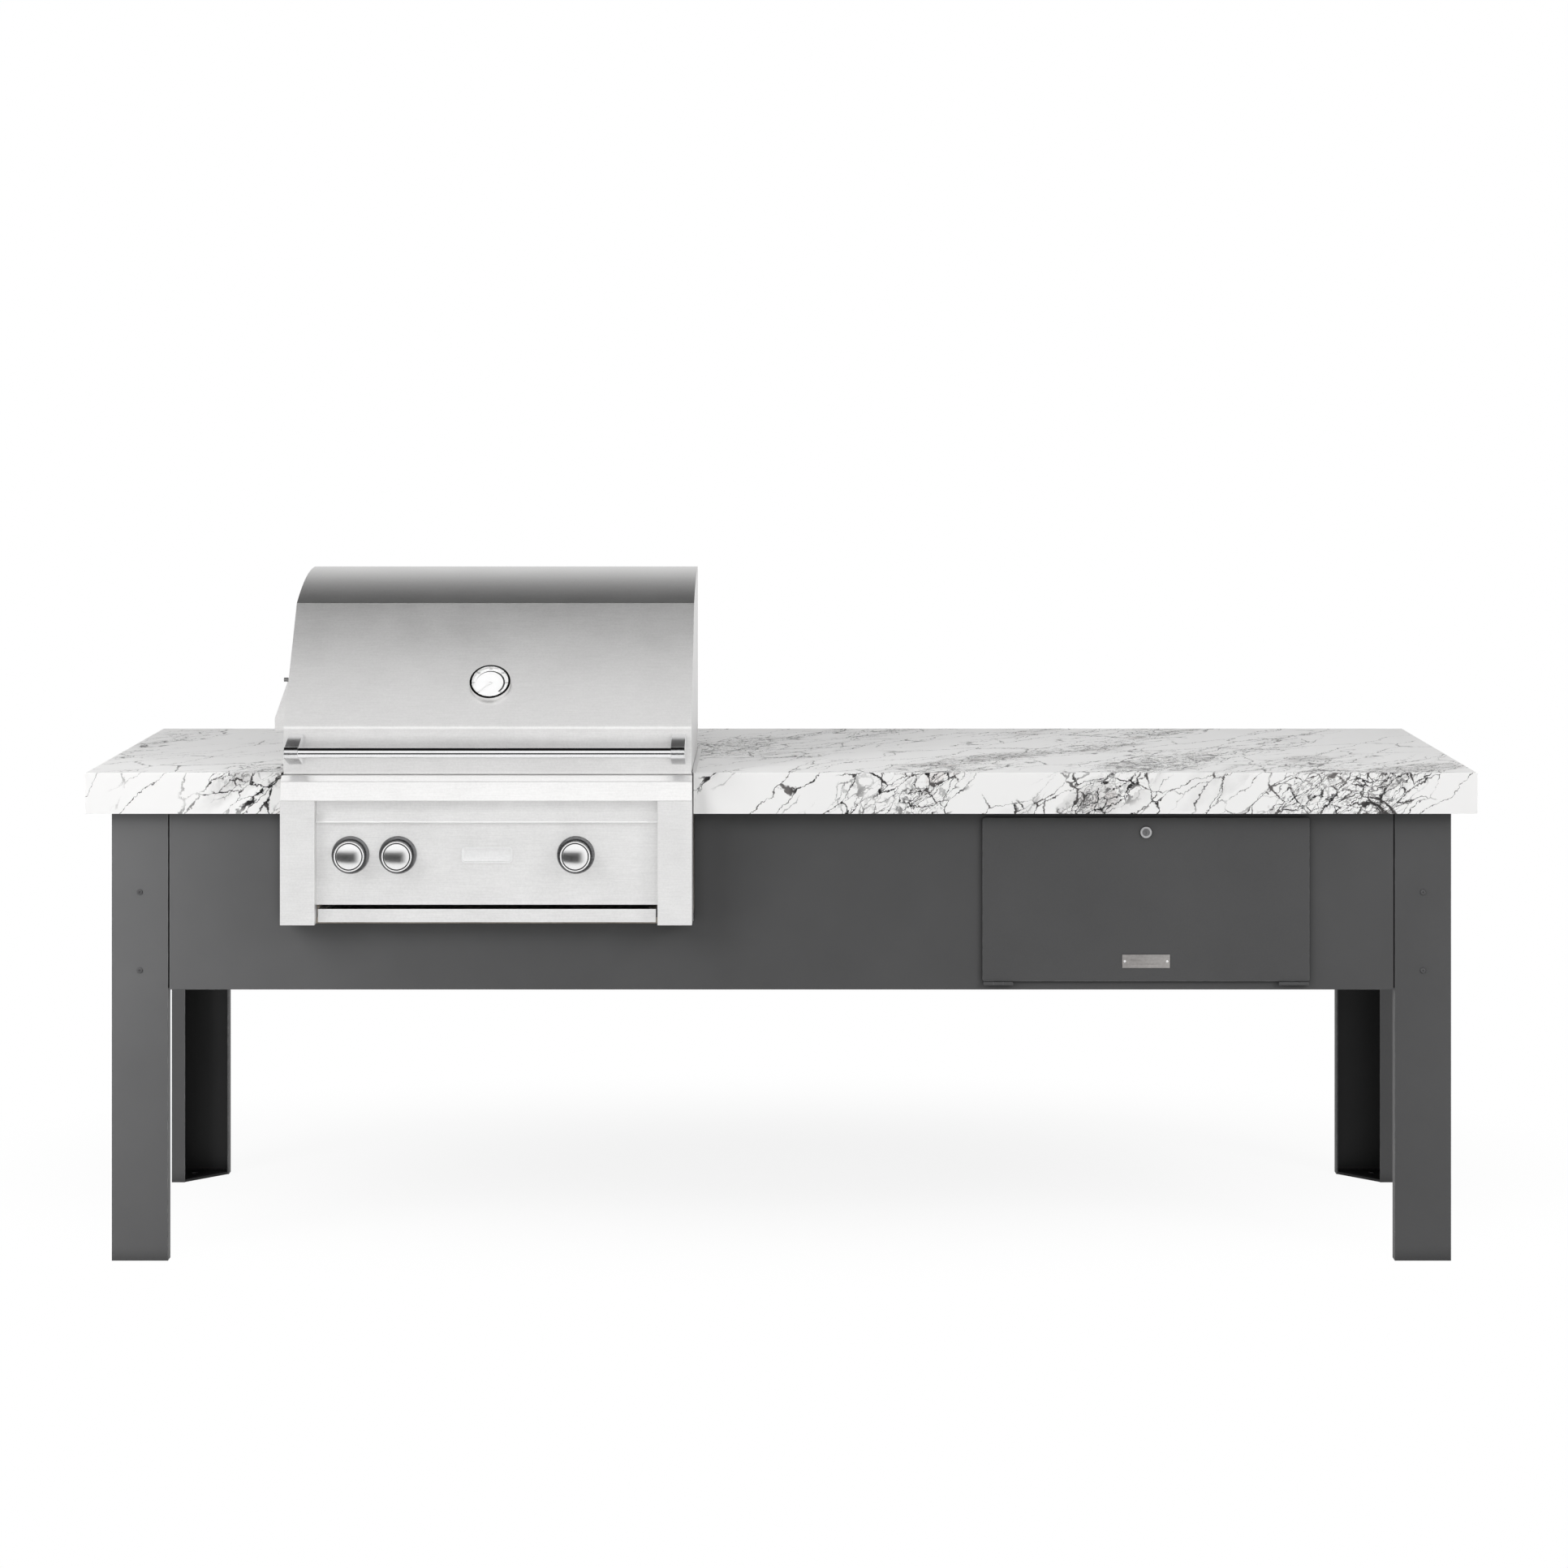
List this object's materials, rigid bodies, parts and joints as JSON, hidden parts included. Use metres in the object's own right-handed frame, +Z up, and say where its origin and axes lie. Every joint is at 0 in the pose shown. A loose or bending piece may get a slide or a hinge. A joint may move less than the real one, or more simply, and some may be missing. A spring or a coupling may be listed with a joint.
{
  "type": "barbecue island",
  "caption": "Outdoor kitchen island: folded steel legs and aprons, mitred marble-look counter, built-in gas grill with lifting hood, drip tray and drop-down storage door.",
  "frame": {"origin": "on the floor, at the centre of the four floor anchor holes in the feet", "axes": "+X to the right along the counter, +Y away from the person at the grill, +Z up"},
  "size_m": [2.584, 0.9312, 1.2735],
  "materials": {
    "charcoal_powder_coat": "fine textured matt",
    "galvanised_steel": "satin zinc grey",
    "marble_stone": "polished, grey veined white",
    "satin_stainless": "satin",
    "polished_chrome": "polished",
    "black_ring": "matt",
    "brass_fittings": "machined",
    "bare_plate": "brushed",
    "needle_paint": "matt black",
    "gauge_glass": "clear"
  },
  "bodies": {
    "island": {"badge_plate": "bare_plate", "control_panel": "satin_stainless", "cooking_grates": "satin_stainless", "corner_brackets": "charcoal_powder_coat", "counter_edge_front_left": "marble_stone", "counter_edge_front_right": "marble_stone", "counter_edge_left": "marble_stone", "counter_edge_rear": "marble_stone", "counter_edge_right": "marble_stone", "counter_rails": "galvanised_steel", "counter_slab": "marble_stone", "door_hinge_pins": "polished_chrome", "firebox": "satin_stainless", "flame_tamers": "satin_stainless", "foot_plates": "charcoal_powder_coat", "front_apron": "charcoal_powder_coat", "front_ledge": "satin_stainless", "gas_manifold": "brass_fittings", "gas_valves": "brass_fittings", "grill_support_rails": "galvanised_steel", "hinge_leaves_fixed": "polished_chrome", "hood_hinge_pins": "satin_stainless", "knob_bezels": "black_ring", "left_apron": "charcoal_powder_coat", "leg_front_left": "charcoal_powder_coat", "leg_front_right": "charcoal_powder_coat", "leg_rear_left": "charcoal_powder_coat", "leg_rear_right": "charcoal_powder_coat", "leg_screws": "galvanised_steel", "main_burners": "satin_stainless", "pilaster_left": "satin_stainless", "pilaster_right": "satin_stainless", "rear_apron": "charcoal_powder_coat", "rear_burner": "satin_stainless", "right_apron": "charcoal_powder_coat", "rotisserie_bracket": "satin_stainless", "storage_bin": "galvanised_steel", "tray_runners": "satin_stainless", "warming_rack": "satin_stainless"},
    "hood": {"hood_shell": "satin_stainless", "hood_ends": "satin_stainless", "hood_liner": "satin_stainless", "handle_bar": "polished_chrome", "handle_posts": "satin_stainless", "gauge_case": "satin_stainless", "gauge_lens": "gauge_glass"},
    "needle": {"gauge_needle": "needle_paint"},
    "stem_outer_left": {"valve_stem_outer_left": "satin_stainless"},
    "stem_inner_left": {"valve_stem_inner_left": "satin_stainless"},
    "stem_right": {"valve_stem_right": "satin_stainless"},
    "knob_outer_left": {"knob_outer_left": "polished_chrome"},
    "knob_inner_left": {"knob_inner_left": "polished_chrome"},
    "knob_right": {"knob_right": "polished_chrome"},
    "drip_tray": {"drip_tray": "satin_stainless"},
    "door": {"access_door": "charcoal_powder_coat", "hinge_leaves_moving": "polished_chrome", "lock_barrel": "polished_chrome", "nameplate": "bare_plate"},
    "lock": {"lock_plug": "polished_chrome"}
  },
  "joints": [
    {"name": "hood_hinge", "type": "hinge", "parent": "island", "child": "hood", "pos_m": [-0.546, 0, 0.96], "axis": [-1, 0, 0], "range_deg": [0, 90]},
    {"name": "needle_turn", "type": "hinge", "parent": "hood", "child": "needle", "pos_m": [-0.546, -0.35894, 1.07371], "axis": [0, 0.7599, -0.6501], "range_deg": [0, 270]},
    {"name": "valve_turn_outer_left", "type": "hinge", "parent": "island", "child": "stem_outer_left", "pos_m": [-0.799, -0.436, 0.7635], "axis": [0, -1, 0], "range_deg": [0, 270]},
    {"name": "knob_push_outer_left", "type": "slide", "parent": "stem_outer_left", "child": "knob_outer_left", "axis": [0, 1, 0], "range_m": [0, 0.004], "stiffness_N_per_m": 1500, "springref_m": -0.002},
    {"name": "valve_turn_inner_left", "type": "hinge", "parent": "island", "child": "stem_inner_left", "pos_m": [-0.711, -0.436, 0.7635], "axis": [0, -1, 0], "range_deg": [0, 270]},
    {"name": "knob_push_inner_left", "type": "slide", "parent": "stem_inner_left", "child": "knob_inner_left", "axis": [0, 1, 0], "range_m": [0, 0.004], "stiffness_N_per_m": 1500, "springref_m": -0.002},
    {"name": "valve_turn_right", "type": "hinge", "parent": "island", "child": "stem_right", "pos_m": [-0.381, -0.436, 0.7635], "axis": [0, -1, 0], "range_deg": [0, 270]},
    {"name": "knob_push_right", "type": "slide", "parent": "stem_right", "child": "knob_right", "axis": [0, 1, 0], "range_m": [0, 0.004], "stiffness_N_per_m": 1500, "springref_m": -0.002},
    {"name": "tray_slide", "type": "slide", "parent": "island", "child": "drip_tray", "axis": [0, -1, 0], "range_m": [0, 0.28]},
    {"name": "door_hinge", "type": "hinge", "parent": "island", "child": "door", "pos_m": [0.68, -0.3965, 0.5185], "axis": [1, 0, 0], "range_deg": [0, 175]},
    {"name": "lock_turn", "type": "hinge", "parent": "door", "child": "lock", "pos_m": [0.68, -0.396, 0.8005], "axis": [0, -1, 0], "range_deg": [0, 90]}
  ]
}
